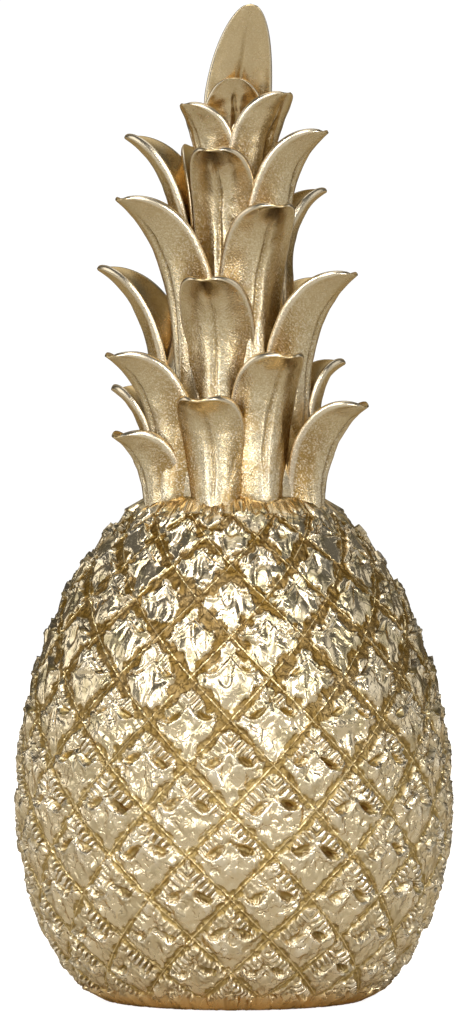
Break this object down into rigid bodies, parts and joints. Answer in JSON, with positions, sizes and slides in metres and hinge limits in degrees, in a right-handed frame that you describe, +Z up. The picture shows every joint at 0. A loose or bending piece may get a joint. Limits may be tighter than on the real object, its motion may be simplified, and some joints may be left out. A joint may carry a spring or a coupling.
{
  "type": "decorative pineapple",
  "caption": "Tabletop pineapple ornament: a round fruit covered in diamond eyes under a tall crown of curled leaves, standing on a flat underside.",
  "frame": {"origin": "centre of the flat underside, on the surface that the ornament stands on", "axes": "+Z up along the fruit and the crown; -Y is the front, the side in the picture; +X to the right seen from the front"},
  "size_m": [0.1334, 0.1334, 0.3],
  "materials": {
    "gold_paint": "satin"
  },
  "bodies": {
    "root": {"pineapple": "gold_paint"}
  },
  "joints": []
}
